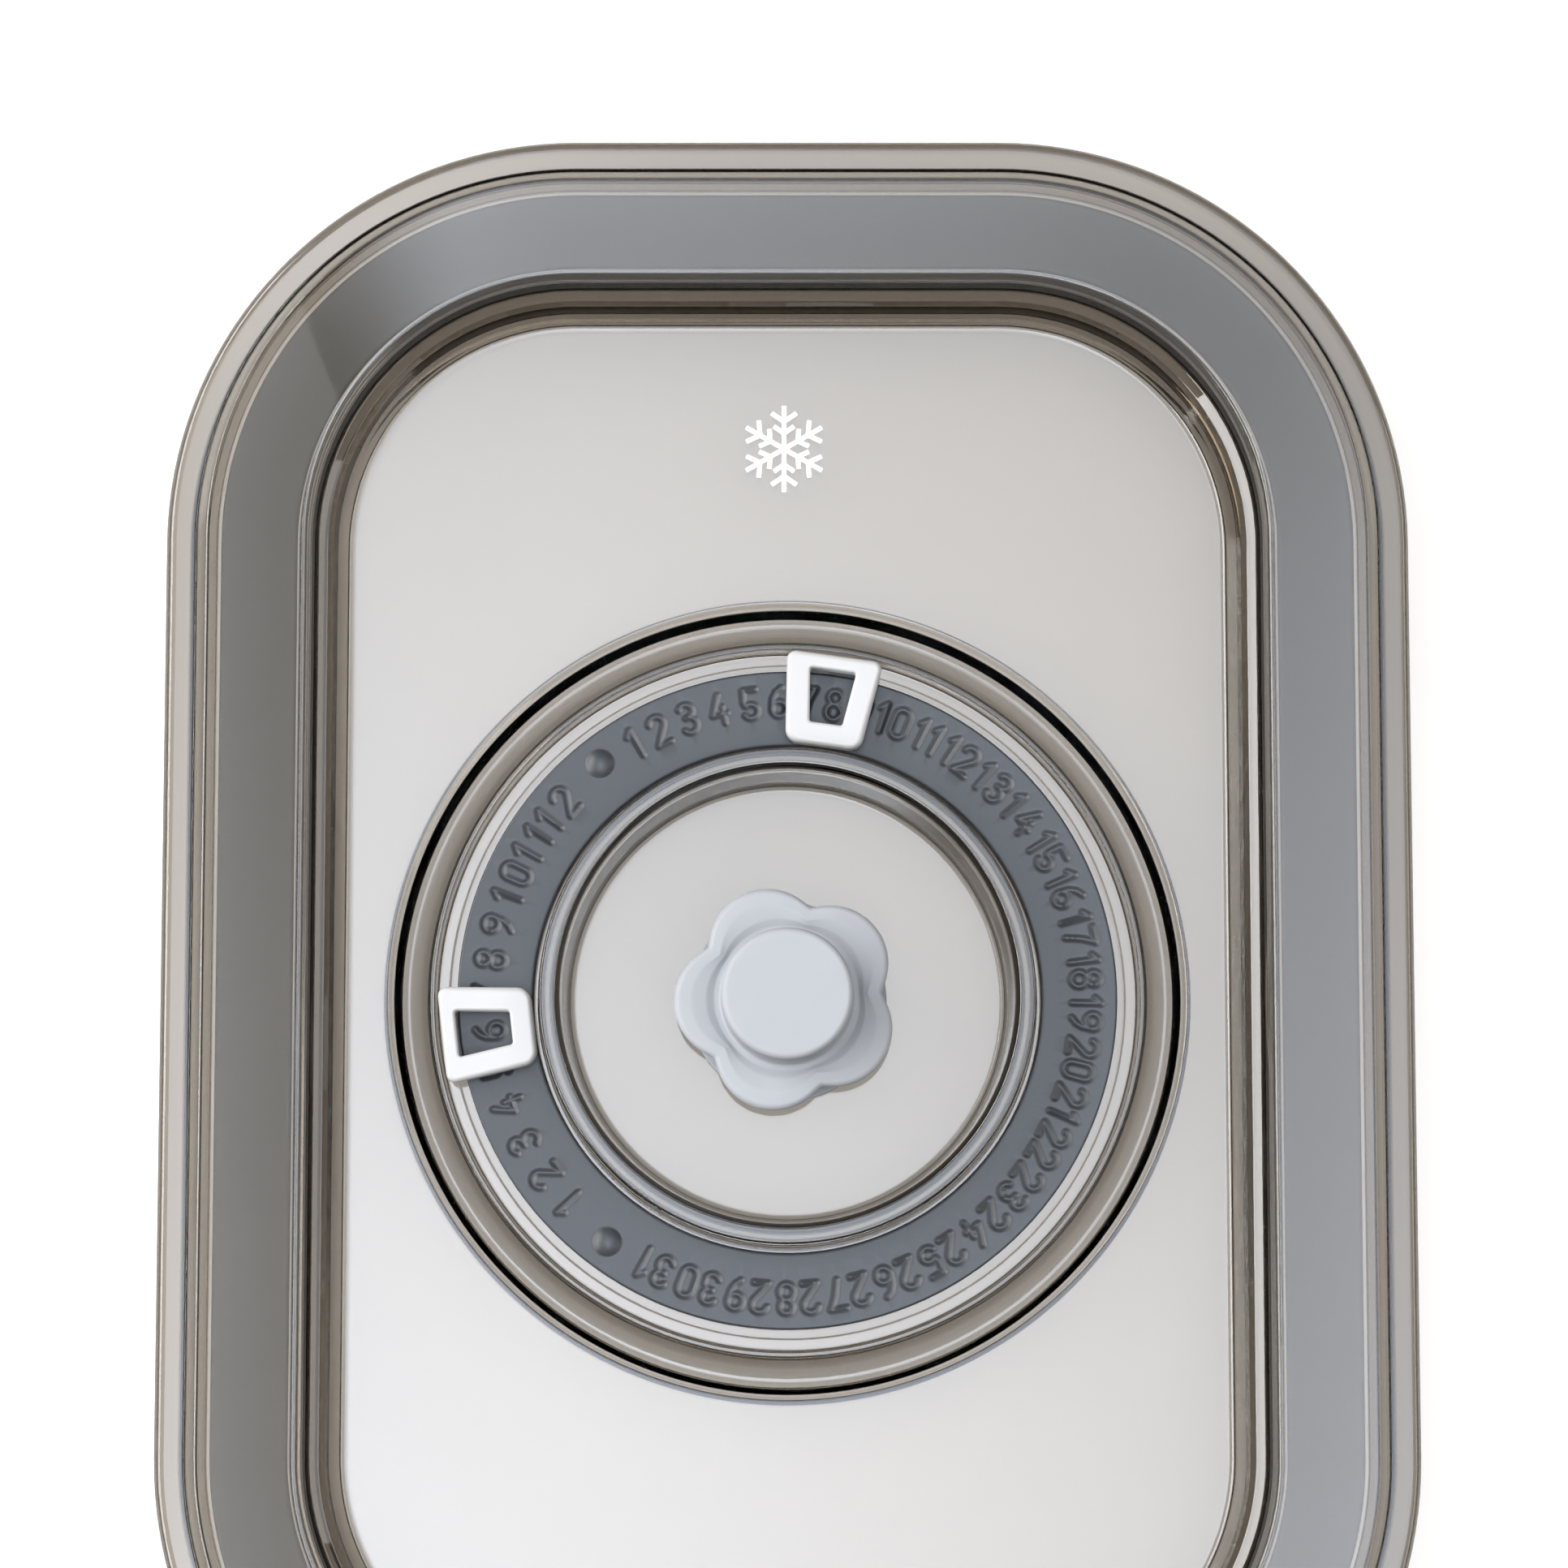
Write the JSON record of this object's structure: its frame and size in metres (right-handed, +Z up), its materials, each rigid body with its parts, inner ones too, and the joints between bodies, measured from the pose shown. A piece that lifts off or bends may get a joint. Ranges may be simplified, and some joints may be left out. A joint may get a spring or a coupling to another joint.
{
  "type": "vacuum food box lid",
  "caption": "Clear rounded rectangular lid for a vacuum food box, with a rim seal, a date dial with sliding windows and a lift-to-release valve in a pump well.",
  "frame": {"origin": "centre of the lid's footprint, on the plane the skirt stands on, which is also on the dial's axis", "axes": "+Z up out of the dial along its axis, +Y along the lid's long side towards the day scale's top, +X to the right seen from above"},
  "size_m": [0.1094, 0.152, 0.016],
  "materials": {
    "clear_shell": "clear smoke-tinted moulding",
    "seal_rubber": "satin grey",
    "slate_plastic": "satin slate grey",
    "white_plastic": "satin white",
    "valve_silicone": "satin light grey silicone"
  },
  "bodies": {
    "lid": {"lid_shell": "clear_shell", "perimeter_seal": "seal_rubber", "date_ring": "slate_plastic"},
    "day_window": {"day_slider": "white_plastic"},
    "month_window": {"month_slider": "white_plastic"},
    "valve": {"vacuum_valve": "valve_silicone"}
  },
  "joints": [
    {"name": "day_slide", "type": "hinge", "parent": "lid", "child": "day_window", "pos_m": [0, 0, 0.0115], "axis": [0, 0, 1], "range_deg": [-199.1, 39.3]},
    {"name": "month_slide", "type": "hinge", "parent": "lid", "child": "month_window", "pos_m": [0, 0, 0.0115], "axis": [0, 0, 1], "range_deg": [-46.5, 36.3]},
    {"name": "valve_lift", "type": "slide", "parent": "lid", "child": "valve", "axis": [0, 0, 1], "range_m": [0, 0.0014]}
  ]
}
